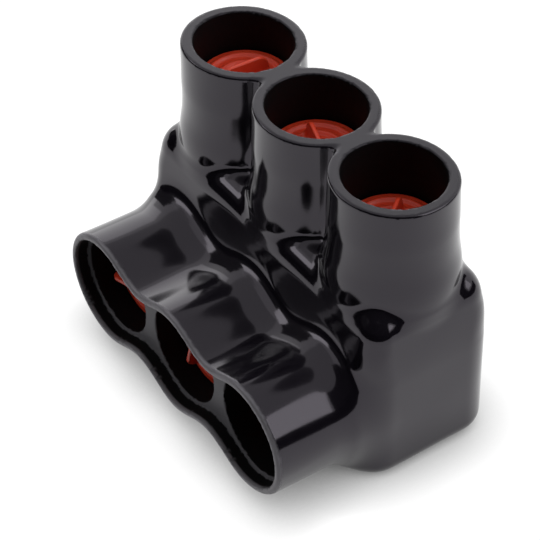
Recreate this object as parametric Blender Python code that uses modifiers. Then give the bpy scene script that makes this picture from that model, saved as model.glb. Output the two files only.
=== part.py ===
"""Insulated multi-tap connector: three conductors enter the front of one aluminium block,
each under its own set screw, inside one dipped plastic cover with a push-fit plug in
every port. Metres, +Z up, row of ports along X, wire entries facing -Y, origin at the
middle of the base.
"""

import bpy
import bmesh
import math
from mathutils import Matrix, Vector

# Row of ports
PORT_PITCH = 0.023
PORT_COUNT = 3
TOUCH_GAP = 0.0003

# Aluminium block
BLOCK_END_MARGIN = 0.0107
BLOCK_DEPTH = 0.0252
BLOCK_HEIGHT = 0.0340
BLOCK_EDGE_RADIUS = 0.0042
BLOCK_TOP_RADIUS = 0.0018
BLOCK_FOOT_RADIUS = 0.0008
CONDUCTOR_BORE_RADIUS = 0.0078
CONDUCTOR_BORE_DEPTH = 0.0215
CONDUCTOR_AXIS_HEIGHT = 0.0151

# Narrowing of block and cover toward the top, on each end and on each side
TAPER_START = 0.023
END_TAPER = 0.0015
SIDE_TAPER = 0.0023

# Set screws
SCREW_RADIUS = 0.0072
SCREW_LENGTH = 0.0126
SCREW_TOP_BELOW_BLOCK = 0.0006
SCREW_CHAMFER = 0.0008
HEX_ACROSS_FLATS = 0.0079
HEX_DEPTH = 0.0068

# Cover: walls round the block
COVER_WALL = 0.0023
COVER_FOOT_RADIUS = 0.0028

# Cover: screw towers
TOWER_BORE_RADIUS = 0.0094
TOWER_WALL = 0.0022
TOWER_RISE = 0.0212
TOWER_WAIST = 0.0003
TOWER_FOOT_SPREAD = 0.0005
TOWER_FOOT_HEIGHT = 0.0048
TOWER_FOOT_TURN = math.radians(60)
TOWER_SKIRT_DROP = 0.0060
TOWER_RIM_SLANT = math.radians(3.7)

# Cover: wire collars, one three-lobed sleeve
WIRE_BORE_RADIUS = 0.0098
COLLAR_WALL = 0.0021
COLLAR_REACH = 0.0182
COLLAR_CREASE_DEPTH = 0.0034
COLLAR_LIP_DEPTH = 0.0031
COLLAR_LIP_WALL = 0.0017
COLLAR_RIM_ROUND = 0.0009
COLLAR_ROOT_RISE = 0.0022
COLLAR_ROOT_LENGTH = 0.0050
COLLAR_SINK = 0.0060

# Push-fit plugs, the same moulding in the towers and in the wire collars
PLUG_HEIGHT = 0.0060
PLUG_SKIRT_WALL = 0.0014
PLUG_FACE_THICKNESS = 0.0016
PLUG_RING_RADII = (0.0028, 0.0050, 0.0073)
PLUG_RING_HEIGHT = 0.0005
PLUG_RING_WIDTH = 0.0010
PLUG_TAB_LENGTH = 0.0104
PLUG_TAB_HEIGHT = 0.0038
PLUG_TAB_THICKNESS = 0.0013
PLUG_TAB_CORNER = 0.0010
SCREW_PLUG_DEPTHS = (0.0088, 0.0104, 0.0122)
SCREW_PLUG_TURNS = (math.radians(86), math.radians(161), math.radians(128))
WIRE_PLUG_DEPTHS = (0.0080, 0.0080, 0.0115)
WIRE_PLUG_TURNS = (math.radians(20), math.radians(75), math.radians(140))

# Facets
ROUND_STEPS = 36
SMALL_ROUND_STEPS = 32
EDGE_STEPS = 4
SMALL_EDGE_STEPS = 3
LOBE_STEPS = 7
SLEEVE_STEPS = 6
FOOT_STEPS = 4
TAPER_STEPS = 4

# Sizes that follow from those above
BLOCK_LENGTH = (PORT_COUNT - 1) * PORT_PITCH + 2 * BLOCK_END_MARGIN
BLOCK_BOTTOM = COVER_WALL + TOUCH_GAP
BLOCK_TOP = BLOCK_BOTTOM + BLOCK_HEIGHT
SHOULDER_HEIGHT = BLOCK_TOP + TOUCH_GAP + COVER_WALL
RIM_HEIGHT = SHOULDER_HEIGHT + TOWER_RISE
COVER_LENGTH = BLOCK_LENGTH + 2 * (TOUCH_GAP + COVER_WALL)
COVER_DEPTH = BLOCK_DEPTH + 2 * (TOUCH_GAP + COVER_WALL)
COVER_EDGE_RADIUS = BLOCK_EDGE_RADIUS + TOUCH_GAP + COVER_WALL
COVER_TOP_RADIUS = BLOCK_TOP_RADIUS + TOUCH_GAP + COVER_WALL
TOWER_RADIUS = TOWER_BORE_RADIUS + TOWER_WALL
COLLAR_RADIUS = WIRE_BORE_RADIUS + COLLAR_WALL
COLLAR_FRONT = -COVER_DEPTH / 2 - COLLAR_REACH
PORT_PLACES = [(i - (PORT_COUNT - 1) / 2) * PORT_PITCH for i in range(PORT_COUNT)]
CUT_PAST = 0.004


def clear_scene():
    for obj in list(bpy.data.objects):
        bpy.data.objects.remove(obj, do_unlink=True)


def new_collection(name):
    collection = bpy.data.collections.new(name)
    bpy.context.scene.collection.children.link(collection)
    return collection


def new_material(name, color, roughness, metallic=0.0):
    material = bpy.data.materials.new(name)
    material.use_nodes = True
    shader = material.node_tree.nodes["Principled BSDF"]
    shader.inputs["Base Color"].default_value = (*color, 1.0)
    shader.inputs["Roughness"].default_value = roughness
    shader.inputs["Metallic"].default_value = metallic
    return material


def object_from(bm, name, collection, material=None):
    """Turns a bmesh into an object with smooth faces and sharp edges past 35 degrees."""
    bmesh.ops.recalc_face_normals(bm, faces=bm.faces)
    mesh = bpy.data.meshes.new(name)
    bm.to_mesh(mesh)
    bm.free()
    obj = bpy.data.objects.new(name, mesh)
    collection.objects.link(obj)
    mesh.shade_smooth()
    mesh.set_sharp_from_angle(angle=math.radians(35))
    if material:
        mesh.materials.append(material)
    return obj


def hide_helper(obj):
    obj.hide_render = True
    obj.display_type = "WIRE"
    return obj


def boolean(obj, operation, other, solver="EXACT"):
    modifier = obj.modifiers.new(f"{operation.lower()}_{other.name}", "BOOLEAN")
    modifier.operation = operation
    modifier.object = other
    modifier.solver = solver


def cut_cover(cover, cutter):
    """Cuts the cover. The lobed faces have many corners, and only this solver keeps them closed."""
    boolean(cover, "DIFFERENCE", hide_helper(cutter), "MANIFOLD")


def box_mesh(length, depth, height, bottom):
    """A box centred on Z whose lowest face is at the height given."""
    bm = bmesh.new()
    bmesh.ops.create_cube(bm, size=1.0)
    bmesh.ops.scale(bm, vec=(length, depth, height), verts=bm.verts)
    bmesh.ops.translate(bm, vec=(0, 0, bottom + height / 2), verts=bm.verts)
    return bm


def round_edges(bm, edges, radius, segments):
    bmesh.ops.bevel(bm, geom=edges, offset=radius, segments=segments, profile=0.5, affect="EDGES")


def rounded_box(length, depth, height, bottom, edge_radius, top_radius, foot_radius):
    """A box with its own radius on the upright edges, round the top and round the foot."""
    bm = box_mesh(length, depth, height, bottom)
    upright = [edge for edge in bm.edges if abs(edge.verts[0].co.z - edge.verts[1].co.z) > height / 2]
    round_edges(bm, upright, edge_radius, EDGE_STEPS)
    top = [edge for edge in bm.edges if min(vert.co.z for vert in edge.verts) > bottom + height / 2]
    round_edges(bm, top, top_radius, EDGE_STEPS)
    foot = [edge for edge in bm.edges if max(vert.co.z for vert in edge.verts) < bottom + foot_radius]
    round_edges(bm, foot, foot_radius, SMALL_EDGE_STEPS)
    return bm


def taper(bm):
    """Draws the sides and ends in toward the top, along a curve that starts at TAPER_START."""
    for i in range(TAPER_STEPS):
        level = TAPER_START + (SHOULDER_HEIGHT - COVER_TOP_RADIUS - TAPER_START) * i / TAPER_STEPS
        geometry = list(bm.verts) + list(bm.edges) + list(bm.faces)
        bmesh.ops.bisect_plane(bm, geom=geometry, plane_co=(0, 0, level), plane_no=(0, 0, 1))
    for vert in bm.verts:
        share = ease((vert.co.z - TAPER_START) / (SHOULDER_HEIGHT - TAPER_START))
        vert.co.x *= 1 - share * END_TAPER / (COVER_LENGTH / 2)
        vert.co.y *= 1 - share * SIDE_TAPER / (COVER_DEPTH / 2)


def block_form(gap):
    """The block's own outline, grown on every side by a gap."""
    bm = rounded_box(
        BLOCK_LENGTH + 2 * gap,
        BLOCK_DEPTH + 2 * gap,
        BLOCK_HEIGHT + 2 * gap,
        BLOCK_BOTTOM - gap,
        BLOCK_EDGE_RADIUS + gap,
        BLOCK_TOP_RADIUS + gap,
        BLOCK_FOOT_RADIUS + gap,
    )
    taper(bm)
    return bm


def cylinder_object(name, collection, radius, start, end, steps):
    """A closed cylinder from one point to another."""
    axis = Vector(end) - Vector(start)
    turn = axis.to_track_quat("Z", "Y").to_matrix().to_4x4()
    middle = Matrix.Translation((Vector(start) + Vector(end)) / 2)
    bm = bmesh.new()
    bmesh.ops.create_cone(
        bm,
        cap_ends=True,
        segments=steps,
        radius1=radius,
        radius2=radius,
        depth=axis.length,
        matrix=middle @ turn,
    )
    return object_from(bm, name, collection)


def turned_object(name, profile, collection, steps, material=None):
    """A solid of revolution about its own Z from (radius, height) points, top to bottom."""
    mesh = bpy.data.meshes.new(name)
    points = [(radius, 0.0, height) for radius, height in profile]
    mesh.from_pydata(points, [(i, i + 1) for i in range(len(points) - 1)], [])
    obj = bpy.data.objects.new(name, mesh)
    collection.objects.link(obj)
    screw = obj.modifiers.new("turn", "SCREW")
    screw.axis = "Z"
    screw.steps = steps
    screw.render_steps = steps
    screw.use_merge_vertices = True
    screw.merge_threshold = 0.00001
    screw.use_smooth_shade = True
    if material:
        mesh.materials.append(material)
    return obj


def ease(t):
    """Runs from 0 to 1 with level ends."""
    t = min(max(t, 0.0), 1.0)
    return t * t * (3 - 2 * t)


def lobe_outline(radius, crease_depth):
    """The three-lobed sleeve's outline as (x, z) points round its axis height.

    Each port gives a circular lobe. Between two lobes the outline dips by crease_depth
    along a cosine, because the dipped plastic fills the valley between the tubes.
    """
    first = PORT_PLACES[0]
    last = PORT_PLACES[-1]
    crest = []
    spans = (PORT_COUNT - 1) * LOBE_STEPS
    for i in range(1, spans):
        x = first + (last - first) * i / spans
        dip = crease_depth * (1 - math.cos(2 * math.pi * (x - first) / PORT_PITCH)) / 2
        crest.append((x, radius - dip))
    points = []
    for i in range(2 * LOBE_STEPS + 1):
        angle = math.pi / 2 - math.pi * i / (2 * LOBE_STEPS)
        points.append((last + radius * math.cos(angle), radius * math.sin(angle)))
    points += [(x, -z) for x, z in reversed(crest)]
    for i in range(2 * LOBE_STEPS + 1):
        angle = -math.pi / 2 - math.pi * i / (2 * LOBE_STEPS)
        points.append((first + radius * math.cos(angle), radius * math.sin(angle)))
    points += crest
    return points


def lofted_object(name, sections, collection):
    """Joins outlines with equal counts, each given as (y, points), and caps both ends."""
    bm = bmesh.new()
    rings = []
    for y, outline in sections:
        rings.append([bm.verts.new((x, y, z)) for x, z in outline])
    count = len(rings[0])
    for near, far in zip(rings, rings[1:]):
        for i in range(count):
            j = (i + 1) % count
            bm.faces.new((near[i], near[j], far[j], far[i]))
    bm.faces.new(rings[0])
    bm.faces.new(rings[-1])
    return object_from(bm, name, collection)


def raised(outline, rise=0.0, drop=0.0):
    """Moves an outline up to the conductor axis, swelling its upper half by rise and its lower by drop."""
    points = []
    for x, z in outline:
        swell = rise * z if z > 0 else drop * z
        points.append((x, CONDUCTOR_AXIS_HEIGHT + z + swell / COLLAR_RADIUS))
    return points


def cover_body(collection):
    """The cover's walls round the block, solid at this stage."""
    bm = rounded_box(
        COVER_LENGTH,
        COVER_DEPTH,
        SHOULDER_HEIGHT,
        0.0,
        COVER_EDGE_RADIUS,
        COVER_TOP_RADIUS,
        COVER_FOOT_RADIUS,
    )
    taper(bm)
    return object_from(bm, "insulating_cover", collection)


def tower_profile():
    """Half section of a screw tower: straight tube, slight waist, spread foot, then a skirt
    that ends inside the shoulder.
    """
    waist_height = SHOULDER_HEIGHT + TOWER_FOOT_HEIGHT
    waist_radius = TOWER_RADIUS - TOWER_WAIST
    skirt_height = SHOULDER_HEIGHT - TOWER_SKIRT_DROP
    points = [(0.0, RIM_HEIGHT + CUT_PAST), (TOWER_RADIUS, RIM_HEIGHT + CUT_PAST)]
    points.append((TOWER_RADIUS, RIM_HEIGHT - TOWER_RISE / 3))
    points.append((TOWER_RADIUS - TOWER_WAIST / 2, (RIM_HEIGHT + waist_height) / 2))
    for i in range(FOOT_STEPS + 1):
        angle = TOWER_FOOT_TURN * i / FOOT_STEPS
        spread = TOWER_FOOT_SPREAD * (1 - math.cos(angle)) / (1 - math.cos(TOWER_FOOT_TURN))
        drop = TOWER_FOOT_HEIGHT * math.sin(angle) / math.sin(TOWER_FOOT_TURN)
        points.append((waist_radius + spread, waist_height - drop))
    points.append((waist_radius, skirt_height))
    points.append((0.0, skirt_height))
    return points


def collar_sections():
    """Outlines of the wire sleeve from its rim back into the block's front wall."""
    root = -COVER_DEPTH / 2
    full_drop = CONDUCTOR_AXIS_HEIGHT - COLLAR_RADIUS - COVER_FOOT_RADIUS / 2
    rim_end = COLLAR_FRONT + COLLAR_RIM_ROUND
    sections = []
    for i in range(SMALL_EDGE_STEPS):
        angle = math.pi / 2 * i / SMALL_EDGE_STEPS
        y = rim_end - COLLAR_RIM_ROUND * math.cos(angle)
        radius = COLLAR_RADIUS - COLLAR_RIM_ROUND * (1 - math.sin(angle))
        sections.append((y, raised(lobe_outline(radius, COLLAR_CREASE_DEPTH))))
    outline = lobe_outline(COLLAR_RADIUS, COLLAR_CREASE_DEPTH)
    for i in range(SLEEVE_STEPS + 1):
        y = rim_end + (root - rim_end) * i / SLEEVE_STEPS
        rise = COLLAR_ROOT_RISE * ease((y - root + COLLAR_ROOT_LENGTH) / COLLAR_ROOT_LENGTH)
        drop = full_drop * ease((y - rim_end) / (root - rim_end))
        sections.append((y, raised(outline, rise, drop)))
    sections.append((root + COLLAR_SINK, raised(outline, COLLAR_ROOT_RISE, full_drop)))
    return sections


def make_cover(collection, cutters, material):
    cover = cover_body(collection)
    sleeve = hide_helper(lofted_object("wire_sleeve_form", collar_sections(), cutters))
    boolean(cover, "UNION", sleeve)
    for number, x in enumerate(PORT_PLACES, 1):
        tower = turned_object(f"tower_form_{number}", tower_profile(), cutters, ROUND_STEPS)
        tower.location.x = x
        boolean(cover, "UNION", hide_helper(tower))

    cut_cover(cover, object_from(block_form(TOUCH_GAP), "block_pocket", cutters))

    for number, x in enumerate(PORT_PLACES, 1):
        bore = cylinder_object(
            f"tower_bore_{number}",
            cutters,
            TOWER_BORE_RADIUS,
            (x, 0, BLOCK_TOP - CUT_PAST / 2),
            (x, 0, RIM_HEIGHT + 2 * CUT_PAST),
            ROUND_STEPS,
        )
        cut_cover(cover, bore)
        entry = cylinder_object(
            f"wire_bore_{number}",
            cutters,
            WIRE_BORE_RADIUS,
            (x, COLLAR_FRONT - CUT_PAST, CONDUCTOR_AXIS_HEIGHT),
            (x, -BLOCK_DEPTH / 2 + CUT_PAST / 2, CONDUCTOR_AXIS_HEIGHT),
            ROUND_STEPS,
        )
        cut_cover(cover, entry)

    mouth = raised(lobe_outline(COLLAR_RADIUS - COLLAR_LIP_WALL, COLLAR_CREASE_DEPTH))
    mouth_form = lofted_object(
        "mouth_form",
        [(COLLAR_FRONT - CUT_PAST, mouth), (COLLAR_FRONT + COLLAR_LIP_DEPTH, mouth)],
        cutters,
    )
    cut_cover(cover, mouth_form)

    trim = box_mesh(COVER_LENGTH + 2 * CUT_PAST, COVER_DEPTH + 2 * CUT_PAST, 4 * CUT_PAST, 0.0)
    trim_form = object_from(trim, "rim_trim", cutters)
    trim_form.location.z = RIM_HEIGHT
    trim_form.rotation_euler.x = -TOWER_RIM_SLANT
    cut_cover(cover, trim_form)

    cover.data.materials.append(material)
    return cover


def make_block(collection, cutters, material):
    """The extruded aluminium body with a blind conductor bore and a screw hole at each port."""
    block = object_from(block_form(0.0), "connector_block", collection, material)
    for number, x in enumerate(PORT_PLACES, 1):
        front = -BLOCK_DEPTH / 2
        conductor = cylinder_object(
            f"conductor_bore_{number}",
            cutters,
            CONDUCTOR_BORE_RADIUS,
            (x, front - CUT_PAST, CONDUCTOR_AXIS_HEIGHT),
            (x, front + CONDUCTOR_BORE_DEPTH, CONDUCTOR_AXIS_HEIGHT),
            SMALL_ROUND_STEPS,
        )
        boolean(block, "DIFFERENCE", hide_helper(conductor))
        hole = cylinder_object(
            f"screw_hole_{number}",
            cutters,
            SCREW_RADIUS + TOUCH_GAP,
            (x, 0, CONDUCTOR_AXIS_HEIGHT),
            (x, 0, BLOCK_TOP + CUT_PAST),
            SMALL_ROUND_STEPS,
        )
        boolean(block, "DIFFERENCE", hide_helper(hole))
    return block


def hex_mesh(across_flats, bottom, top):
    bm = bmesh.new()
    radius = across_flats / 2 / math.cos(math.pi / 6)
    bmesh.ops.create_cone(
        bm,
        cap_ends=True,
        segments=6,
        radius1=radius,
        radius2=radius,
        depth=top - bottom,
        matrix=Matrix.Translation((0, 0, (bottom + top) / 2)),
    )
    return bm


def make_screw(number, x, collection, cutters, material):
    """A socket set screw, its origin on its axis at its top face."""
    profile = [
        (0.0, 0.0),
        (SCREW_RADIUS - SCREW_CHAMFER, 0.0),
        (SCREW_RADIUS, -SCREW_CHAMFER),
        (SCREW_RADIUS, -SCREW_LENGTH + SCREW_CHAMFER),
        (SCREW_RADIUS - SCREW_CHAMFER, -SCREW_LENGTH),
        (0.0, -SCREW_LENGTH),
    ]
    screw = turned_object(f"set_screw_{number}", profile, collection, SMALL_ROUND_STEPS, material)
    top = (x, 0, BLOCK_TOP - SCREW_TOP_BELOW_BLOCK)
    socket = object_from(
        hex_mesh(HEX_ACROSS_FLATS, -HEX_DEPTH, CUT_PAST), f"hex_socket_{number}", cutters
    )
    screw.location = top
    socket.location = top
    boolean(screw, "DIFFERENCE", hide_helper(socket))
    return screw


def plug_profile(radius):
    """Half section of a push-fit plug: ringed face at height 0 and a skirt open below."""
    points = [(0.0, 0.0)]
    for ring in PLUG_RING_RADII:
        points.append((ring - PLUG_RING_WIDTH / 2, 0.0))
        points.append((ring, PLUG_RING_HEIGHT))
        points.append((ring + PLUG_RING_WIDTH / 2, 0.0))
    lead = PLUG_SKIRT_WALL / 2
    points += [
        (radius - lead, 0.0),
        (radius, -lead),
        (radius, -PLUG_HEIGHT + lead),
        (radius - lead, -PLUG_HEIGHT),
        (radius - PLUG_SKIRT_WALL, -PLUG_HEIGHT),
        (radius - PLUG_SKIRT_WALL, -PLUG_FACE_THICKNESS),
        (0.0, -PLUG_FACE_THICKNESS),
    ]
    return points


def is_top_end(edge):
    """True for a tab's two short top edges, which run along Y."""
    first, second = edge.verts
    return first.co.z > 0 and second.co.z > 0 and abs(first.co.x - second.co.x) < 1e-6


def make_plug(name, bore_radius, collection, cutters, material):
    """A plug facing +Z with its origin at the middle of its face, and its pull tab on top."""
    profile = plug_profile(bore_radius - TOUCH_GAP)
    plug = turned_object(name, profile, collection, SMALL_ROUND_STEPS, material)
    tab_mesh = box_mesh(
        PLUG_TAB_LENGTH,
        PLUG_TAB_THICKNESS,
        PLUG_TAB_HEIGHT + PLUG_FACE_THICKNESS / 2,
        -PLUG_FACE_THICKNESS / 2,
    )
    ends = [edge for edge in tab_mesh.edges if is_top_end(edge)]
    round_edges(tab_mesh, ends, PLUG_TAB_CORNER, SMALL_EDGE_STEPS)
    tab = hide_helper(object_from(tab_mesh, f"{name}_tab", cutters))
    boolean(plug, "UNION", tab)
    return plug, tab


def place(objects, matrix):
    for obj in objects:
        obj.matrix_world = matrix


def main():
    clear_scene()
    parts = new_collection("insulated_multi_tap_connector")
    cutters = new_collection("cutters")
    plastisol = new_material("black_plastisol", (0.012, 0.012, 0.014), 0.12)
    aluminium = new_material("tin_plated_aluminium", (0.72, 0.72, 0.70), 0.35, 1.0)
    steel = new_material("zinc_plated_steel", (0.60, 0.60, 0.58), 0.30, 1.0)
    red_plastic = new_material("orange_red_plastic", (0.42, 0.035, 0.020), 0.45)

    make_cover(parts, cutters, plastisol)
    make_block(parts, cutters, aluminium)
    for index, x in enumerate(PORT_PLACES):
        number = index + 1
        make_screw(number, x, parts, cutters, steel)
        upper = make_plug(f"screw_plug_{number}", TOWER_BORE_RADIUS, parts, cutters, red_plastic)
        seat = Matrix.Translation((x, 0, RIM_HEIGHT - SCREW_PLUG_DEPTHS[index]))
        place(upper, seat @ Matrix.Rotation(SCREW_PLUG_TURNS[index], 4, "Z"))
        lower = make_plug(f"wire_plug_{number}", WIRE_BORE_RADIUS, parts, cutters, red_plastic)
        seat = Matrix.Translation((x, COLLAR_FRONT + WIRE_PLUG_DEPTHS[index], CONDUCTOR_AXIS_HEIGHT))
        facing = Matrix.Rotation(math.radians(90), 4, "X")
        place(lower, seat @ facing @ Matrix.Rotation(WIRE_PLUG_TURNS[index], 4, "Z"))


main()
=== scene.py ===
import bpy
import bmesh
import math
import numpy as np
from mathutils import Matrix, Vector


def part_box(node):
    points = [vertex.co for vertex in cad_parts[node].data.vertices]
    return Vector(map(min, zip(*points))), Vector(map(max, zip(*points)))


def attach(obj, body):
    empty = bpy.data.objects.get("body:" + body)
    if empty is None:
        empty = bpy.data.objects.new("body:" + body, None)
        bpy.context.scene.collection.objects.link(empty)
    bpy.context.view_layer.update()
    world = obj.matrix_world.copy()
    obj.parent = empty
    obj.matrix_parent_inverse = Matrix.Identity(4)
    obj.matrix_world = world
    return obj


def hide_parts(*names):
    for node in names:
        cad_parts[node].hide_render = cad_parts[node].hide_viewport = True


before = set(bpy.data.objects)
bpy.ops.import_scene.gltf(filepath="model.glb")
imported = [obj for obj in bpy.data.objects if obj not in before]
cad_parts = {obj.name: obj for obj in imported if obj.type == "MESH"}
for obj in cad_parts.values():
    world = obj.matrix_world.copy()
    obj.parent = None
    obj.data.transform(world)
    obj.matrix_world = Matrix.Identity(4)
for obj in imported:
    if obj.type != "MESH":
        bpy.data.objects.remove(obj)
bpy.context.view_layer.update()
scene = bpy.context.scene
milli = 0.001
tiny = 1e-9
diagonal = 0.7071  # turns the sum of two legs into the distance from a 45 degree face


def boxInMillimetres(name):
    # lowest and highest corner of a node
    low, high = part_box(name)
    return np.array(low) / milli, np.array(high) / milli


coverLow, coverHigh = boxInMillimetres("insulating_cover")
blockLow, blockHigh = boxInMillimetres("connector_block")
wirePlugBoxes = [boxInMillimetres(f"wire_plug_{i}") for i in (1, 2, 3)]
portPlaces = [float(low[0] + high[0]) / 2 for low, high in wirePlugBoxes]
portPitch = portPlaces[1] - portPlaces[0]
axisHeight = float(wirePlugBoxes[0][0][2] + wirePlugBoxes[0][1][2]) / 2

# The dipped cover, lengths in millimetres
coverShape = {
    "halfLength": coverHigh[0] - 0.12,
    "halfDepth": coverHigh[1] - 0.12,
    "footHeight": 0.30,
    "shoulder": 39.2,
    "edgeRadius": 6.7,
    "edgeSharpen": 1.7,
    "sharpenStart": 24.0,
    "sharpenLength": 8.0,
    "topRadius": 5.0,
    "sideEase": 0.5,
    "easeLength": 14.0,
    "endTaper": 1.5,
    "sideTaper": 2.3,
    "taperStart": 23.0,
    "taperEnd": 39.2,
    "footRadius": 3.4,
    "towerRadius": 11.7,
    "towerBore": 9.4,
    "boreFloor": 30.0,
    "towerFlare": 1.7,
    "footSpread": 0.95,
    "footStart": 51.0,
    "footLength": 12.0,
    "towerWaves": ((0.15, 51.5, 4.0), (-0.10, 45.0, 3.0)),  # height, middle and width
    "towerMeet": 2.6,
    "flareStart": 37.0,
    "flareFade": 0.5,
    "rimHeight": 60.4,
    "rimSlant": math.radians(3.7),
    "rimRound": 0.55,
    "collarRadius": 12.1,
    "collarBore": 9.8,
    "collarBoreEnd": -9.0,
    "collarCrease": 3.2,
    "rootCrease": 2.4,
    "sleeveSink": 0.6,
    "sleeveFadeStart": 1.5,
    "sleeveFade": 0.6,
    "collarFlare": 6.5,
    "collarRimRound": 0.9,
    "frontSkim": 0.05,
    "lipDepth": 3.1,
    "lipWall": 1.45,
    "innerRound": 0.35,
    "pocketGap": 0.3,
    "pocketFootRadius": 1.1,
    "blockEdgeRadius": 4.2,
    "blockTopRadius": 1.8,
    "ripples": ((0.07, (37, 29, 31), (0.4, 1.1, 2.0)), (0.03, (17, 15, 19), (1.7, 0.3, 0.9))),
    "cell": 0.83,
    "margin": 1.5,
}
rimSlope = math.tan(coverShape["rimSlant"])


def smoothUnion(a, b, reach):
    # blend of two distance fields wherever they differ by less than the reach
    near = np.maximum(reach - np.abs(a - b), 0)
    return np.minimum(a, b) - near * near / (4 * reach)


def smoothCut(a, b, radius):
    # field a without the inside of field b, the new edge rounded
    ua = np.maximum(radius + a, 0)
    ub = np.maximum(radius - b, 0)
    return np.minimum(-radius, np.maximum(a, -b)) + np.sqrt(ua * ua + ub * ub)


def roundCorner(a, b, radius):
    # where both fields are inside, with the edge between them rounded
    outside = np.hypot(np.maximum(a + radius, 0), np.maximum(b + radius, 0))
    return outside + np.minimum(np.maximum(a, b) + radius, 0) - radius


def roundedBox(x, y, z, halfLength, halfDepth, low, high, sideRadius, topRadius, lowRadius):
    # a prism with rounded upright edges, and its own radius round the top edge and round the foot
    side = roundCorner(np.abs(x) - halfLength, np.abs(y) - halfDepth, sideRadius)
    return np.maximum(roundCorner(side, z - high, topRadius), roundCorner(side, low - z, lowRadius))


def creaseDip(x, depth):
    # how far the lobed outline dips between two ports, a cosine with crests over the ports
    inside = np.abs(x) < portPlaces[-1]
    return np.where(inside, depth * (1 - np.cos(2 * math.pi * x / portPitch)) / 2, 0.0)


def lobedTube(x, z, radius, depth):
    # distance to the three-lobed outline: round ends, and a waved top and bottom between them
    past = np.maximum(np.abs(x) - portPlaces[-1], 0)
    wave = depth * math.pi / portPitch * np.sin(2 * math.pi * x / portPitch)
    slope = np.where(past > 0, 0.0, wave)
    flat = (np.abs(z) - radius + creaseDip(x, depth)) / np.sqrt(1 + slope * slope)
    return np.where(past > 0, np.hypot(past, z) - radius, flat)


def ripple(x, y, z, lengths, phases):
    # slow uneven swell of dipped plastic, the product of three sines
    return (
        np.sin(2 * math.pi * x / lengths[0] + phases[0])
        * np.sin(2 * math.pi * y / lengths[1] + phases[1])
        * np.sin(2 * math.pi * z / lengths[2] + phases[2])
    )


def softStep(t):
    # runs from 0 to 1 with level ends
    t = np.clip(t, 0, 1)
    return t * t * (3 - 2 * t)


def rise(value, start, length):
    # soft step that begins at the start and ends a length later
    return softStep((value - start) / length)


def fadeBehind(depth, slope, length=2.0):
    # grows with depth behind a start, from nothing to a steady slope after about the length
    depth = np.maximum(depth, 0)
    return slope * depth * depth / (depth + length)


def leanOut(x, y, z):
    # undoes the narrowing toward the top, so that a straight form tested there comes out tapered
    c = coverShape
    share = rise(z, c["taperStart"], c["taperEnd"] - c["taperStart"])
    straightX = x / (1 - share * c["endTaper"] / coverHigh[0])
    straightY = y / (1 - share * c["sideTaper"] / coverHigh[1])
    return straightX, straightY


def bodyField(x, y, z):
    # the tapered box round the block, its upright edges sharper toward the top
    c = coverShape
    straightX, straightY = leanOut(x, y, z)
    ease = c["sideEase"] / coverHigh[0] * rise(z, c["taperStart"], c["easeLength"])
    straightX = straightX * (1 - ease)
    edge = c["edgeRadius"] - c["edgeSharpen"] * rise(z, c["sharpenStart"], c["sharpenLength"])
    return roundedBox(
        straightX, straightY, z, c["halfLength"], c["halfDepth"], c["footHeight"], c["shoulder"],
        edge, c["topRadius"], c["footRadius"],
    )


def sleeveField(x, y, z):
    # the lobed sleeve, sinking and less creased toward its root, and fading out behind the wall
    c = coverShape
    front = coverLow[1]
    root = -c["halfDepth"]
    along = np.clip((y - front) / (root - front), 0, 1)
    crease = c["collarCrease"] + (c["rootCrease"] - c["collarCrease"]) * softStep(along)
    sleeve = lobedTube(x, z - axisHeight + c["sleeveSink"] * along, c["collarRadius"], crease)
    return sleeve + fadeBehind(y - root + c["sleeveFadeStart"], c["sleeveFade"])


def towersField(x, y, z):
    # three upright cylinders that spread at the foot, joined where they meet, fading out below
    c = coverShape
    swell = c["footSpread"] * softStep((c["footStart"] - z) / c["footLength"])
    for height, middle, width in c["towerWaves"]:
        swell = swell + height * np.exp(-((z - middle) / width) ** 2)
    towers = None
    for place in portPlaces:
        tower = np.hypot(x - place, y) - c["towerRadius"] - swell
        towers = tower if towers is None else smoothUnion(towers, tower, c["towerMeet"])
    return towers + fadeBehind(c["flareStart"] - z, c["flareFade"])


def outerField(x, y, z):
    # body, sleeve and towers blended one after the other, and then rippled
    c = coverShape
    whole = smoothUnion(bodyField(x, y, z), sleeveField(x, y, z), c["collarFlare"])
    whole = smoothUnion(whole, towersField(x, y, z), c["towerFlare"])
    for height, lengths, phases in c["ripples"]:
        whole = whole + height * ripple(x, y, z, lengths, phases)
    return whole


def rimDistance(y, z):
    # distance above the slanted plane that the towers are cut to
    return (z - coverShape["rimHeight"] + y * rimSlope) / math.hypot(1, rimSlope)


def cavityField(x, y, z):
    # everything hollow: the port mouths, the six bores and the block's pocket
    c = coverShape
    mouth = lobedTube(x, z - axisHeight, c["collarRadius"] - c["lipWall"], c["collarCrease"])
    whole = np.maximum(mouth, y - coverLow[1] - c["lipDepth"])
    for place in portPlaces:
        shaft = np.hypot(x - place, y) - c["towerBore"]
        whole = np.minimum(whole, np.maximum(shaft, c["boreFloor"] - z))
        bore = np.hypot(x - place, z - axisHeight) - c["collarBore"]
        whole = np.minimum(whole, np.maximum(bore, y - c["collarBoreEnd"]))
    gap = c["pocketGap"]
    straightX, straightY = leanOut(x, y, z)
    pocket = roundedBox(
        straightX, straightY, z, blockHigh[0] + gap, blockHigh[1] + gap,
        blockLow[2] - gap, blockHigh[2] + gap,
        c["blockEdgeRadius"] + gap, c["blockTopRadius"] + gap, c["pocketFootRadius"],
    )
    return np.minimum(whole, pocket)


def coverField(x, y, z):
    # the outer form cut by the rim plane, by the front plane and by all the hollows
    c = coverShape
    whole = smoothCut(outerField(x, y, z), -rimDistance(y, z), c["rimRound"])
    whole = smoothCut(whole, y - coverLow[1] - c["frontSkim"], c["collarRimRound"])
    return smoothCut(whole, cavityField(x, y, z), c["innerRound"])


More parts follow.
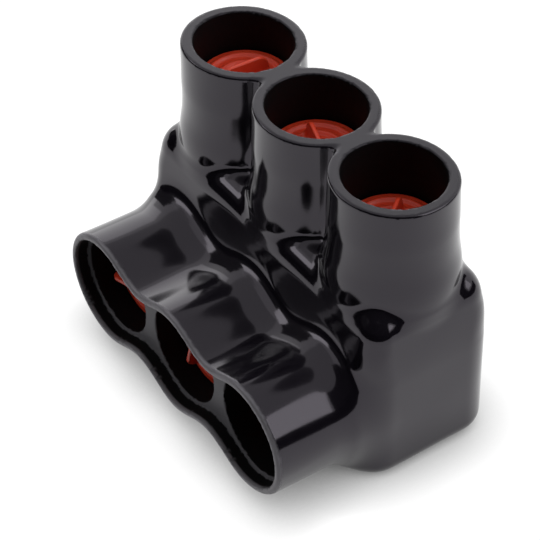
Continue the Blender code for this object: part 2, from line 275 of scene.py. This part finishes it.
def surfaceFromField(field, low, high, cell):
    # One vertex in each cell that the surface crosses, at the mean of its edge crossings,
    # and one quad round each grid edge whose ends lie on different sides. Whole arrays throughout.
    counts = [int(math.ceil((high[i] - low[i]) / cell)) + 1 for i in range(3)]
    axes = [low[i] + cell * np.arange(counts[i]) for i in range(3)]
    gx, gy, gz = np.meshgrid(*axes, indexing="ij")
    values = field(gx, gy, gz)
    inside = values < 0
    cells = tuple(n - 1 for n in counts)
    total = np.zeros(cells + (3,))
    hits = np.zeros(cells)
    for axis in range(3):
        start = [slice(None)] * 3
        end = [slice(None)] * 3
        start[axis] = slice(0, -1)
        end[axis] = slice(1, None)
        a = values[tuple(start)]
        b = values[tuple(end)]
        crossed = inside[tuple(start)] != inside[tuple(end)]
        share = np.where(crossed, a / np.where(crossed, a - b, 1.0), 0.0)
        others = [i for i in range(3) if i != axis]
        for da in (0, 1):
            for db in (0, 1):
                pick = [slice(None)] * 3
                pick[others[0]] = slice(da, da + cells[others[0]])
                pick[others[1]] = slice(db, db + cells[others[1]])
                hit = crossed[tuple(pick)]
                total[..., axis] += np.where(hit, share[tuple(pick)], 0.0)
                total[..., others[0]] += np.where(hit, float(da), 0.0)
                total[..., others[1]] += np.where(hit, float(db), 0.0)
                hits += hit
    used = hits > 0
    index = np.full(cells, -1)
    index[used] = np.arange(int(used.sum()))
    corner = np.stack(np.nonzero(used), axis=-1)
    points = low + cell * (corner + total[used] / hits[used][:, None])
    quads = []
    for axis in range(3):
        start = [slice(1, -1)] * 3
        end = [slice(1, -1)] * 3
        start[axis] = slice(0, -1)
        end[axis] = slice(1, None)
        near = inside[tuple(start)]
        far = inside[tuple(end)]
        b, c = [(1, 2), (2, 0), (0, 1)][axis]
        spot = np.stack(np.nonzero(near != far), axis=-1)
        offset = np.ones(3, int)
        offset[axis] = 0
        spot = spot + offset
        ring = []
        for db, dc in ((-1, -1), (0, -1), (0, 0), (-1, 0)):
            cellAt = spot.copy()
            cellAt[:, b] += db
            cellAt[:, c] += dc
            ring.append(index[cellAt[:, 0], cellAt[:, 1], cellAt[:, 2]])
        ring = np.stack(ring, axis=-1)
        leaving = near[near != far]
        ring[~leaving] = ring[~leaving][:, ::-1]
        quads.append(ring)
    return points, np.concatenate(quads)


def fieldGradient(field, points, step=0.02):
    # central differences along the three axes
    slopes = []
    for axis in range(3):
        shift = np.zeros(3)
        shift[axis] = step
        ahead = points + shift
        behind = points - shift
        slopes.append((field(*ahead.T) - field(*behind.T)) / (2 * step))
    return np.stack(slopes, axis=-1)


def fieldNormals(field, points):
    # the gradient at each point brought to length one
    normals = fieldGradient(field, points)
    return normals / np.maximum(np.linalg.norm(normals, axis=-1, keepdims=True), tiny)


def settleOnSurface(field, points, rounds=4, reach=0.4, flattest=0.05):
    # Newton steps along the gradient, each no longer than the reach
    for _ in range(rounds):
        slope = fieldGradient(field, points)
        size = np.maximum((slope * slope).sum(axis=-1), flattest)
        move = -(field(*points.T) / size)[:, None] * slope
        length = np.linalg.norm(move, axis=-1, keepdims=True)
        points = points + move * np.minimum(1, reach / np.maximum(length, tiny))
    return points


def meshFromArrays(name, points, faces):
    # points in millimetres; faces as one array of quads or triangles
    mesh = bpy.data.meshes.new(name)
    mesh.vertices.add(len(points))
    mesh.vertices.foreach_set("co", (points * milli).astype(np.float32).ravel())
    sides = faces.shape[1]
    mesh.loops.add(faces.size)
    mesh.loops.foreach_set("vertex_index", faces.astype(np.int32).ravel())
    mesh.polygons.add(len(faces))
    mesh.polygons.foreach_set("loop_start", np.arange(0, faces.size, sides, dtype=np.int32))
    mesh.update(calc_edges=True)
    mesh.shade_smooth()
    return mesh


def newObject(name, mesh, material):
    # an object at the origin with one material
    obj = bpy.data.objects.new(name, mesh)
    scene.collection.objects.link(obj)
    mesh.materials.append(material)
    return obj


def principled(name, **values):
    # a material and its shader, with the named sockets set
    material = bpy.data.materials.new(name)
    material.use_nodes = True
    shader = material.node_tree.nodes["Principled BSDF"]
    for key, value in values.items():
        shader.inputs[key].default_value = value
    return material, shader


def feed(tree, socket, value):
    # links another socket to this one, or sets a plain value on it
    if isinstance(value, bpy.types.NodeSocket):
        tree.links.new(value, socket)
    else:
        socket.default_value = value


def addNode(tree, kind, settings=None, **inputs):
    # a node with its settings, and its inputs fed by name
    node = tree.nodes.new(kind)
    for key, value in (settings or {}).items():
        setattr(node, key, value)
    for key, value in inputs.items():
        feed(tree, node.inputs[key.replace("_", " ")], value)
    return node


def mathNode(tree, operation, first, second):
    # the result of one operation on two sockets or values
    node = addNode(tree, "ShaderNodeMath", {"operation": operation})
    feed(tree, node.inputs[0], first)
    feed(tree, node.inputs[1], second)
    return node.outputs[0]


def objectPlace(tree):
    # object coordinates
    return addNode(tree, "ShaderNodeTexCoord").outputs["Object"]


def pointShare(tree, name):
    # a value stored on the points of the mesh
    return addNode(tree, "ShaderNodeAttribute", {"attribute_name": name}).outputs["Fac"]


def noiseShare(tree, place, scale, detail):
    # noise from 0 to 1
    node = addNode(tree, "ShaderNodeTexNoise", Vector=place, Scale=scale, Detail=detail)
    return node.outputs["Fac"]


def noiseBump(tree, place, layers, normal=None):
    # stacked noise bumps; each layer is scale, detail, strength and height in metres
    for scale, detail, strength, height in layers:
        noise = noiseShare(tree, place, scale, detail)
        bump = addNode(tree, "ShaderNodeBump", Strength=strength, Distance=height, Height=noise)
        if normal is not None:
            tree.links.new(normal, bump.inputs["Normal"])
        normal = bump.outputs["Normal"]
    return normal


def blend(tree, share, low, high):
    # mixes two colours by a share
    node = addNode(tree, "ShaderNodeMix", {"data_type": "RGBA"}, Factor=share)
    for name, value in (("A", low), ("B", high)):
        feed(tree, [s for s in node.inputs if s.name == name and s.type == "RGBA"][0], value)
    return [s for s in node.outputs if s.type == "RGBA"][0]


def mixValue(tree, share, low, high):
    # mixes two values by a share
    return addNode(tree, "ShaderNodeMix", Factor=share, A=low, B=high).outputs["Result"]


def ranged(tree, value, lowIn, highIn, lowOut, highOut):
    # moves a value from one range to another, in proportion
    node = addNode(
        tree, "ShaderNodeMapRange", Value=value,
        From_Min=lowIn, From_Max=highIn, To_Min=lowOut, To_Max=highOut,
    )
    return node.outputs["Result"]


# Dipped plastic: glossy skin, satin trimmed rims with a light grey painted sheen on the collar
# rims, dull walls inside the bores painted darker as shade
skinLook = {
    "skin": (0.0085, 0.0070, 0.0105, 1),
    "rim": (0.011, 0.011, 0.013, 1),
    # edge: a light grey painted sheen for the collar rims, standing in for their reflection of the
    # lamps
    "edge": (0.19, 0.185, 0.20, 1),
    # bore: darker than the skin, a painted shade inside the bores and the pocket
    "bore": (0.0035, 0.0035, 0.0037, 1),
    "skinRough": (0.085, 0.13),
    "rimRough": 0.40,
    "boreRough": 0.50,
    "skinShine": 0.50,
    "boreShine": 0.10,
    "ior": 1.52,
    "tint": (0.95, 0.88, 1.0, 1),
    "smear": (120.0, 3.0),
    "smearRange": (0.35, 0.65),
    "swell": (70.0, 1.0, 0.10, 0.0006),
    "orange": (900.0, 2.0, 0.05, 0.00006),
    "grain": (5200.0, 3.0, 0.30, 0.00003),
}


def dippedPlastic():
    # the skin's colour, roughness and shine, changed on the rims and in the bores by point values
    look = skinLook
    material, shader = principled(
        "dippedBlackPlastic", **{"IOR": look["ior"], "Specular Tint": look["tint"]}
    )
    tree = material.node_tree
    place = objectPlace(tree)
    rim = pointShare(tree, "trimmed")
    bore = pointShare(tree, "hollow")
    # painted sheen: below the given height the trimmed faces take the light grey edge colour in
    # place of the dark rim colour
    rimColorWithPaintedSheen = blend(tree, pointShare(tree, "paintedSheenZone"), look["rim"], look["edge"])
    # inside the bores the darker bore colour is painted shade
    color = blend(tree, rim, blend(tree, bore, look["skin"], look["bore"]), rimColorWithPaintedSheen)
    tree.links.new(color, shader.inputs["Base Color"])
    smear = noiseShare(tree, place, *look["smear"])
    rough = ranged(tree, smear, *look["smearRange"], *look["skinRough"])
    rough = mixValue(tree, bore, rough, look["boreRough"])
    rough = mixValue(tree, rim, rough, look["rimRough"])
    tree.links.new(rough, shader.inputs["Roughness"])
    shine = mixValue(tree, bore, look["skinShine"], look["boreShine"])
    tree.links.new(shine, shader.inputs["Specular IOR Level"])
    normal = noiseBump(tree, place, (look["swell"], look["orange"]))
    scale, detail, strength, height = look["grain"]
    dull = mathNode(tree, "MAXIMUM", rim, bore)
    grain = mathNode(tree, "MULTIPLY", noiseShare(tree, place, scale, detail), dull)
    last = addNode(
        tree, "ShaderNodeBump", Strength=strength, Distance=height, Height=grain, Normal=normal
    )
    tree.links.new(last.outputs["Normal"], shader.inputs["Normal"])
    return material


def refineNear(mesh, wanted):
    # splits every edge whose two ends are both wanted, so that faces there come out half as large
    bm = bmesh.new()
    bm.from_mesh(mesh)
    bm.verts.ensure_lookup_table()
    edges = [
        edge for edge in bm.edges if wanted[edge.verts[0].index] and wanted[edge.verts[1].index]
    ]
    bmesh.ops.subdivide_edges(bm, edges=edges, cuts=1, use_grid_fill=True)
    bm.to_mesh(mesh)
    bm.free()


def meshPoints(mesh):
    # the points of a mesh in millimetres
    flat = np.empty(3 * len(mesh.vertices), np.float32)
    mesh.vertices.foreach_get("co", flat)
    return flat.reshape(-1, 3).astype(float) / milli


# Where the cover's mesh is finer, in millimetres
coverZones = {
    "rimReach": 1.5,
    "valley": {"y": (-17, 3), "z": (33, 46)},
    "root": {"y": (-22, -13), "z": (17, 33)},
    "skinDepth": 1.0,
    "ledgeReach": 0.7,
    "ledgeDepth": 0.5,
}


def between(value, limits):
    # true between two limits
    return (value > limits[0]) & (value < limits[1])


def rimZone(points):
    # true close to the cut faces of the towers and the collars, and in the creases between them
    x, y, z = points.T
    zones = coverZones
    top = np.abs(rimDistance(y, z)) < zones["rimReach"]
    mouth = y < coverLow[1] + coverShape["lipDepth"] + zones["rimReach"]
    skin = cavityField(x, y, z) > zones["skinDepth"]
    creases = False
    for name in ("valley", "root"):
        creases = creases | (between(y, zones[name]["y"]) & between(z, zones[name]["z"]))
    return top | mouth | (creases & skin)


def ledgeZone(points):
    # true close to the narrow ledge inside the port mouths
    past = points[:, 1] - coverLow[1] - coverShape["lipDepth"]
    close = np.abs(past) < coverZones["ledgeReach"]
    return close & (cavityField(*points.T) < coverZones["ledgeDepth"])


def addMask(mesh, name, share):
    # a value from 0 to 1 on each point
    layer = mesh.attributes.new(name, "FLOAT", "POINT")
    layer.data.foreach_set("value", share.astype(np.float32))


# Where the cover's look changes; a pair gives where a soft step starts and its length
coverMasks = {
    "facing": (0.80, 0.15),
    "rimDepth": 0.5,
    "frontDepth": 0.4,
    "ledgeFacing": (0.3, 0.3),
    "ledgeDepth": 0.35,
    "frontEdge": 1.0,
    "frontFade": 0.5,
    "hollowEdge": 0.30,
    "hollowFade": 0.25,
    # height below which the trimmed faces carry the painted sheen
    "paintedSheenBelow": 32.0,
}


def trimmedShare(points, normals):
    # 1 on the flat cut faces of the towers, on the front edge of the collars and on their ledge; on
    # the collars it carries the painted sheen
    x, y, z = points.T
    masks = coverMasks
    slant = coverShape["rimSlant"]
    lip = coverLow[1] + coverShape["lipDepth"]
    forward = -normals[:, 1]
    up = normals[:, 2] * math.cos(slant) + forward * math.sin(slant)
    top = rise(up, *masks["facing"]) * (np.abs(rimDistance(y, z)) < masks["rimDepth"])
    front = rise(forward, *masks["facing"]) * (y < lip + masks["frontDepth"])
    ledge = rise(forward, *masks["ledgeFacing"]) * (np.abs(y - lip) < masks["ledgeDepth"])
    edge = softStep((masks["frontEdge"] - y + coverLow[1]) / masks["frontFade"])
    return np.maximum.reduce([top, front, ledge, edge])


def hollowShare(points):
    # 1 on the walls of the bores and of the pocket, where the colour is painted darker as shade
    return softStep((coverMasks["hollowEdge"] - cavityField(*points.T)) / coverMasks["hollowFade"])


def buildCover():
    # surface from the field, made finer twice and settled each time, with normals of the field
    margin = coverShape["margin"]
    points, quads = surfaceFromField(
        coverField, coverLow - margin, coverHigh + margin, coverShape["cell"]
    )
    points = settleOnSurface(coverField, points)
    mesh = meshFromArrays("dippedCover", points, quads)
    refineNear(mesh, rimZone(points))
    points = settleOnSurface(coverField, meshPoints(mesh))
    refineNear(mesh, ledgeZone(points))
    points = settleOnSurface(coverField, meshPoints(mesh))
    mesh.vertices.foreach_set("co", (points * milli).astype(np.float32).ravel())
    mesh.shade_smooth()
    normals = fieldNormals(coverField, points)
    mesh.normals_split_custom_set_from_vertices(normals.astype(np.float32))
    addMask(mesh, "trimmed", trimmedShare(points, normals))
    addMask(mesh, "hollow", hollowShare(points))
    # painted sheen zone: trimmed faces below this height, the collar rims and ledge, take the light
    # grey colour
    addMask(mesh, "paintedSheenZone", (points[:, 2] < coverMasks["paintedSheenBelow"]) * 1.0)
    cover = newObject("dippedCover", mesh, dippedPlastic())
    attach(cover, "covered_block")
    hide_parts("insulating_cover")
    triangles = sum(len(face.vertices) - 2 for face in mesh.polygons)
    print("cover", len(points), "points", triangles, "triangles")


buildCover()

# Push-fit plugs, lengths in millimetres
plugShape = {
    "clearance": 0.35,
    "height": 6.0,
    "wall": 1.4,
    "face": 1.6,
    "edge": 0.55,
    "skirtDraft": 0.03,
    "skirtRound": 0.25,
    "ringRadii": (2.8, 5.0, 7.3),
    "ringHeight": 0.48,
    "ringMeet": 0.5,
    "tabHeight": 3.8,
    "tabHalf": 5.15,
    "tabHalfThick": 0.62,
    "tabLean": 0.06,
    "tabThin": 0.05,
    "tabCorner": 2.2,
    "tabEdge": 0.28,
    "tabRoot": 0.8,
    "tabMeet": 1.1,
    "gateRadius": 0.9,
    "gateRise": 0.2,
    "gateMeet": 0.3,
    "cell": 0.24,
    "margin": 0.7,
    "settle": (3, 0.12),
}
# Each kind's node, body, bore, side that the tab faces, and turns in degrees
plugKinds = {
    "screwPlug": ("screw_plug", "tower_cap", "towerBore", "up", (86, 161, 128)),
    "wirePlug": ("wire_plug", "port_cap", "collarBore", "front", (20, 75, 140)),
}


def plugField(radius):
    # a disc with rings on its face, a hollow skirt behind and a thin pull tab in front
    c = plugShape

    def field(x, y, z):
        r = np.hypot(x, y)
        half = c["height"] / 2
        whole = roundCorner(r - radius, np.abs(z + half) - half, c["edge"])
        for ring in c["ringRadii"]:
            whole = smoothUnion(whole, np.hypot(r - ring, z) - c["ringHeight"], c["ringMeet"])
        inside = np.maximum(r - radius + c["wall"] - c["skirtDraft"] * z, z + c["face"])
        whole = smoothCut(whole, inside, c["skirtRound"])
        across = np.abs(x) - c["tabHalf"] + c["tabLean"] * z
        side = roundCorner(across, z - c["tabHeight"], c["tabCorner"])
        thick = np.abs(y) - c["tabHalfThick"] + c["tabThin"] * z
        tab = np.maximum(roundCorner(side, thick, c["tabEdge"]), -z - c["tabRoot"])
        whole = smoothUnion(whole, tab, c["tabMeet"])
        gate = np.hypot(r, z + c["face"] + c["gateRise"]) - c["gateRadius"]
        return smoothUnion(whole, gate, c["gateMeet"])

    return field


# Satin orange-red plastic
plugLook = {
    "colors": ((0.84, 0.058, 0.022, 1), (0.94, 0.075, 0.028, 1)),
    "rough": (0.30, 0.42),
    "ior": 1.47,
    "cloud": (260.0, 3.0),
    "cloudRange": (0.3, 0.7),
    "bumps": ((1500.0, 2.0, 0.2, 0.00006), (6000.0, 2.0, 0.2, 0.00002)),
}


def plugPlastic():
    # colour and roughness follow one soft cloud, over two layers of fine grain
    look = plugLook
    material, shader = principled("orangeRedPlastic", **{"IOR": look["ior"]})
    tree = material.node_tree
    place = objectPlace(tree)
    cloud = noiseShare(tree, place, *look["cloud"])
    share = ranged(tree, cloud, *look["cloudRange"], 0.0, 1.0)
    tree.links.new(blend(tree, share, *look["colors"]), shader.inputs["Base Color"])
    rough = ranged(tree, cloud, *look["cloudRange"], *look["rough"])
    tree.links.new(rough, shader.inputs["Roughness"])
    tree.links.new(noiseBump(tree, place, look["bumps"]), shader.inputs["Normal"])
    return material


def buildPlug(name, node, body, radius, turn, facing, material):
    # the plug is computed facing +Z round its own origin, then turned and moved as arrays
    margin = plugShape["margin"]
    reach = radius + margin
    field = plugField(radius)
    bottom = np.array([-reach, -reach, -plugShape["height"] - margin])
    top = np.array([reach, reach, plugShape["tabHeight"] + margin])
    points, quads = surfaceFromField(field, bottom, top, plugShape["cell"])
    points = settleOnSurface(field, points, *plugShape["settle"])
    normals = fieldNormals(field, points)
    turned = np.array(Matrix.Rotation(math.radians(turn), 3, "Z"))
    low, high = boxInMillimetres(node)
    middle = (low + high) / 2
    if facing == "up":
        place = np.array([middle[0], 0.0, high[2] - plugShape["tabHeight"]])
    else:
        turned = np.array(Matrix.Rotation(math.radians(90), 3, "X")) @ turned
        place = np.array([middle[0], low[1] + plugShape["tabHeight"], axisHeight])
    mesh = meshFromArrays(name, points @ turned.T + place, quads)
    mesh.normals_split_custom_set_from_vertices((normals @ turned.T).astype(np.float32))
    plug = newObject(name, mesh, material)
    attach(plug, body)
    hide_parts(node)
    print(name, len(points), "points")


def buildPlugs():
    # a tower plug and a wire plug for each port
    material = plugPlastic()
    for i in range(3):
        for name, (node, body, bore, facing, turns) in plugKinds.items():
            radius = coverShape[bore] - plugShape["clearance"]
            buildPlug(
                f"{name}{i + 1}", f"{node}_{i + 1}", f"{body}_{i + 1}",
                radius, turns[i], facing, material,
            )


buildPlugs()

# Set screws, lengths in millimetres
screwShape = {
    "clearance": 0.04,
    "threadPitch": 1.5,
    "threadDepth": 0.75,
    "threadSlope": 1.25,
    "threadFlat": 0.12,
    "threadScale": 0.75,
    "chamfer": 0.9,
    "hexAcross": 7.9,
    "hexDepth": 6.8,
    "hexLead": 0.55,
    "drillTip": 1.4,
    "drillSlope": 2.4,
    "drillScale": 0.38,
    "drillMeet": 0.2,
    "drillInset": 0.3,
    "edge": 0.15,
    "cell": 0.26,
    "margin": 0.8,
    "settle": (3, 0.1),
}


def hexagonField(x, y, half):
    # distance to a hexagon as the largest of the distances to its three pairs of sides
    hexagon = np.abs(x)
    for angle in (math.radians(60), math.radians(120)):
        hexagon = np.maximum(hexagon, np.abs(x * math.cos(angle) + y * math.sin(angle)))
    return hexagon - half


def screwField(radius, length):
    # a threaded rod with chamfered ends and a hexagonal socket whose floor is a drill cone
    c = screwShape

    def field(x, y, z):
        r = np.hypot(x, y)
        turn = (z / c["threadPitch"] - np.arctan2(y, x) / (2 * math.pi)) % 1.0
        profile = np.clip(c["threadSlope"] * np.abs(2 * turn - 1) - c["threadFlat"], 0, 1)
        whole = (r - radius + c["threadDepth"] * profile) * c["threadScale"]
        for past in (z, -length - z):
            whole = np.maximum(whole, past)
            whole = np.maximum(whole, (r - radius + c["chamfer"] + past) * diagonal)
        half = c["hexAcross"] / 2
        above = z + c["hexDepth"]
        socket = np.maximum(hexagonField(x, y, half), -above)
        cone = (r - (above + c["drillTip"]) * c["drillSlope"]) * c["drillScale"]
        cone = np.maximum(cone, above - c["drillMeet"])
        socket = np.minimum(socket, np.maximum(cone, r - half + c["drillInset"]))
        lead = (r - half - c["hexLead"] - z) * diagonal
        return smoothCut(smoothCut(whole, socket, c["edge"]), lead, c["edge"])

    return field


# Dark heat-treated steel
screwLook = {
    "colors": ((0.17, 0.17, 0.175, 1), (0.26, 0.255, 0.25, 1)),
    "colorRange": (0.35, 0.65),
    "rough": (0.28, 0.46),
    "roughRange": (0.3, 0.7),
    "stain": (300.0, 4.0),
    "bumps": ((2500.0, 3.0, 0.25, 0.00003), (9000.0, 2.0, 0.2, 0.00001)),
}


def screwSteel():
    # colour and roughness follow light oil stains, over two layers of fine grain
    look = screwLook
    material, shader = principled("darkSteel", **{"Metallic": 1.0})
    tree = material.node_tree
    place = objectPlace(tree)
    stain = noiseShare(tree, place, *look["stain"])
    share = ranged(tree, stain, *look["colorRange"], 0.0, 1.0)
    tree.links.new(blend(tree, share, *look["colors"]), shader.inputs["Base Color"])
    rough = ranged(tree, stain, *look["roughRange"], *look["rough"])
    tree.links.new(rough, shader.inputs["Roughness"])
    tree.links.new(noiseBump(tree, place, look["bumps"]), shader.inputs["Normal"])
    return material


def buildScrews():
    # one screw in each node's box, its head at the top of the box
    material = screwSteel()
    margin = screwShape["margin"]
    for i in range(3):
        node = f"set_screw_{i + 1}"
        low, high = boxInMillimetres(node)
        radius = (high[0] - low[0]) / 2 - screwShape["clearance"]
        length = high[2] - low[2]
        field = screwField(radius, length)
        bottom = np.array([-radius, -radius, -length]) - margin
        top = np.array([radius, radius, 0.0]) + margin
        points, quads = surfaceFromField(field, bottom, top, screwShape["cell"])
        points = settleOnSurface(field, points, *screwShape["settle"])
        shift = np.array([(low[0] + high[0]) / 2, 0.0, high[2]])
        mesh = meshFromArrays(f"setScrew{i + 1}", points + shift, quads)
        screw = newObject(f"setScrew{i + 1}", mesh, material)
        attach(screw, f"screw_{i + 1}")
        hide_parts(node)
    print("screws", len(points), "points each")


buildScrews()

# Extruded aluminium block, lengths in millimetres
blockShape = {
    "skim": 0.03,
    "sideRadius": coverShape["blockEdgeRadius"],
    "topRadius": coverShape["blockTopRadius"],
    "footRadius": 0.8,
    "boreRadius": 7.8,
    "boreDepth": 21.5,
    "boreLead": 0.6,
    "holeRadius": 7.5,
    "holeLead": 0.4,
    "holeLeadDepth": 2.0,
    "edge": 0.25,
    "cell": 0.62,
    "margin": 1.3,
    "settle": (4, 0.3),
}


def blockField(x, y, z):
    # the tapered block less three blind conductor bores and three screw holes, each chamfered
    c = blockShape
    low = blockLow + c["skim"]
    high = blockHigh - c["skim"]
    straightX, straightY = leanOut(x, y, z)
    whole = roundedBox(
        straightX, straightY, z, high[0], high[1], low[2], high[2],
        c["sideRadius"], c["topRadius"], c["footRadius"],
    )
    inward = y - blockLow[1]
    above = z - blockHigh[2]
    for place in portPlaces:
        r = np.hypot(x - place, z - axisHeight) - c["boreRadius"]
        bore = np.maximum(r, inward - c["boreDepth"])
        lead = (r - c["boreLead"] + inward) * diagonal
        whole = smoothCut(whole, np.minimum(bore, lead), c["edge"])
        r = np.hypot(x - place, y) - c["holeRadius"]
        hole = np.maximum(r, axisHeight - z)
        lead = np.maximum((r - c["holeLead"] - above) * diagonal, -above - c["holeLeadDepth"])
        whole = smoothCut(whole, np.minimum(hole, lead), c["edge"])
    return whole


# Mill-finish aluminium
blockLook = {
    "colors": ((0.66, 0.67, 0.68, 1), (0.78, 0.78, 0.78, 1)),
    "rough": (0.27, 0.42),
    "noiseRange": (0.3, 0.7),
    "cloud": (160.0, 4.0),
    "drawn": (6.0, 900.0, 900.0),
    "lines": (3.0, 4.0),
    "lineBump": (0.25, 0.00003),
    "bumps": ((4000.0, 2.0, 0.15, 0.00002),),
}


def blockAluminium():
    # colour follows dull oxide clouds, roughness and bump follow die lines along the length
    look = blockLook
    material, shader = principled("extrudedAluminium", **{"Metallic": 1.0})
    tree = material.node_tree
    place = objectPlace(tree)
    drawn = addNode(tree, "ShaderNodeMapping", Vector=place, Scale=look["drawn"]).outputs["Vector"]
    lines = noiseShare(tree, drawn, *look["lines"])
    cloud = noiseShare(tree, place, *look["cloud"])
    share = ranged(tree, cloud, *look["noiseRange"], 0.0, 1.0)
    tree.links.new(blend(tree, share, *look["colors"]), shader.inputs["Base Color"])
    rough = ranged(tree, lines, *look["noiseRange"], *look["rough"])
    tree.links.new(rough, shader.inputs["Roughness"])
    strength, height = look["lineBump"]
    bump = addNode(tree, "ShaderNodeBump", Strength=strength, Distance=height, Height=lines)
    normal = noiseBump(tree, place, look["bumps"], bump.outputs["Normal"])
    tree.links.new(normal, shader.inputs["Normal"])
    return material


def buildBlock():
    # surface from the field, settled once
    margin = blockShape["margin"]
    points, quads = surfaceFromField(
        blockField, blockLow - margin, blockHigh + margin, blockShape["cell"]
    )
    points = settleOnSurface(blockField, points, *blockShape["settle"])
    mesh = meshFromArrays("extrudedBlock", points, quads)
    block = newObject("extrudedBlock", mesh, blockAluminium())
    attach(block, "covered_block")
    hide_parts("connector_block")
    print("block", len(points), "points")


buildBlock()

# Camera fitted to the photograph: place and turn in the part's frame
cameraView = {
    "azimuth": math.radians(55.743),
    "elevation": math.radians(43.04),
    "roll": math.radians(0.904),
    "place": (0.27849, -0.20029, 0.34060),
    "lens": 164.96,
    "sensor": 36.0,
    "clipStart": 0.01,
}


def addCamera():
    # looks along the azimuth and down by the elevation, then rolls about its own axis
    a = cameraView["azimuth"]
    e = cameraView["elevation"]
    r = cameraView["roll"]
    forward = Vector((-math.sin(a) * math.cos(e), math.cos(a) * math.cos(e), -math.sin(e)))
    level = Vector((math.cos(a), math.sin(a), 0))
    down = forward.cross(level)
    right = math.cos(r) * level + math.sin(r) * down
    up = math.sin(r) * level - math.cos(r) * down
    turned = Matrix((right, up, -forward)).transposed().to_4x4()
    camera = bpy.data.objects.new("photoCamera", bpy.data.cameras.new("photoCamera"))
    camera.data.lens = cameraView["lens"]
    camera.data.sensor_width = cameraView["sensor"]
    camera.data.clip_start = cameraView["clipStart"]
    camera.matrix_world = Matrix.Translation(cameraView["place"]) @ turned
    scene.collection.objects.link(camera)
    scene.camera = camera
    print("camera placed")


addCamera()

# Cards round the part. Each gives two azimuths in degrees from +Y toward +X, its distance and its
# two heights in metres, and its level. The lowest stand clear of the floor by more than the reach
# of the floor's contact shadow.
studioCards = {
    "lowFlag": ((20, 245), 0.20, (0.011, 0.070), 0.0),
    "rightSoftbox": ((35, 76), 0.50, (0.165, 0.64), 2.6),
    "leftSoftbox": ((-86, -40), 0.45, (0.011, 0.36), 1.9),
    "frontLeftCard": ((-152, -126), 0.50, (0.23, 0.38), 3.0),
    "leftLowCard": ((-98, -86), 0.45, (0.011, 0.10), 1.9),
    "cameraFlag": ((80, 186), 0.62, (0.06, 0.74), 0.02),
    "frontFlag": ((186, 262), 0.62, (0.011, 0.40), 0.05),
}
cardSteps = 24
ceilingCard = {"height": 0.9, "halfSize": 0.75, "level": 0.66}
floorSheet = {
    "halfSize": 1.5,
    "diffuse": 0.16,
    "glow": 1.0,
    "shadowReach": 0.010,
    "shadowSamples": 12,
}
worldLevels = {"seen": 1.0, "light": 0.6}
white = (1, 1, 1, 1)


def seenShare(tree):
    # 1 for rays that the camera or a shiny or clear surface sends, else 0
    path = addNode(tree, "ShaderNodeLightPath").outputs
    seen = mathNode(tree, "MAXIMUM", path["Is Camera Ray"], path["Is Glossy Ray"])
    return mathNode(tree, "MAXIMUM", seen, path["Is Transmission Ray"])


def emptyMaterial(name):
    # a material's tree and the socket that its surface goes to
    material = bpy.data.materials.new(name)
    material.use_nodes = True
    tree = material.node_tree
    tree.nodes.clear()
    output = tree.nodes.new("ShaderNodeOutputMaterial")
    return material, tree, output.inputs["Surface"]


def glowMaterial(name, level):
    # an even white glow
    material, tree, surface = emptyMaterial(name)
    glow = addNode(tree, "ShaderNodeEmission", Color=white, Strength=level)
    tree.links.new(glow.outputs[0], surface)
    return material


def floorMaterial():
    # a lit sheet plus a glow that only seen rays meet, less of it close to what stands on the
    # floor: a painted contact shadow
    sheet = floorSheet
    material, tree, surface = emptyMaterial("whiteFloor")
    level = mathNode(tree, "MULTIPLY", seenShare(tree), sheet["glow"])
    paintedContactShadow = addNode(
        tree, "ShaderNodeAmbientOcclusion", {"samples": sheet["shadowSamples"]},
        Distance=sheet["shadowReach"],
    )
    # painted contact shadow: the glow is darkened by ambient occlusion near the part
    level = mathNode(tree, "MULTIPLY", level, paintedContactShadow.outputs["AO"])
    glow = addNode(tree, "ShaderNodeEmission", Color=white, Strength=level)
    tone = sheet["diffuse"]
    lit = addNode(tree, "ShaderNodeBsdfDiffuse", Color=(tone, tone, tone, 1))
    both = tree.nodes.new("ShaderNodeAddShader")
    tree.links.new(glow.outputs[0], both.inputs[0])
    tree.links.new(lit.outputs[0], both.inputs[1])
    tree.links.new(both.outputs[0], surface)
    return material


def cardMesh(name, azimuths, distance, heights):
    # an arc of wall round the z axis between two azimuths
    angles = np.radians(np.linspace(*azimuths, cardSteps + 1))
    x = distance * np.sin(angles)
    y = distance * np.cos(angles)
    rows = [np.stack([x, y, np.full_like(x, height)], axis=-1) for height in heights]
    i = np.arange(cardSteps)
    faces = np.stack([i, i + 1, i + cardSteps + 2, i + cardSteps + 1], axis=-1)
    return meshFromArrays(name, np.concatenate(rows) / milli, faces)


def sheetMesh(name, half, height):
    # a level square about the z axis
    corners = ((-half, -half), (half, -half), (half, half), (-half, half))
    points = np.array([(x, y, height) for x, y in corners])
    return meshFromArrays(name, points / milli, np.array([[0, 1, 2, 3]]))


def addWorld():
    # white where it is seen, weaker where it lights
    world = bpy.data.worlds.new("studioWorld")
    scene.world = world
    world.use_nodes = True
    tree = world.node_tree
    background = tree.nodes["Background"]
    background.inputs["Color"].default_value = white
    level = ranged(tree, seenShare(tree), 0.0, 1.0, worldLevels["light"], worldLevels["seen"])
    tree.links.new(level, background.inputs["Strength"])


def addStudio():
    # the cards and the ceiling, unseen by the camera, and the floor
    for name, (azimuths, distance, heights, level) in studioCards.items():
        mesh = cardMesh(name, azimuths, distance, heights)
        card = newObject(name, mesh, glowMaterial(name, level))
        card.visible_camera = False
    mesh = sheetMesh("ceiling", ceilingCard["halfSize"], ceilingCard["height"])
    ceiling = newObject("ceiling", mesh, glowMaterial("ceiling", ceilingCard["level"]))
    ceiling.visible_camera = False
    floor = newObject("floor", sheetMesh("floor", floorSheet["halfSize"], 0.0), floorMaterial())
    print("studio", len(studioCards), "cards")


addWorld()
addStudio()
scene.view_settings.view_transform = "Standard"
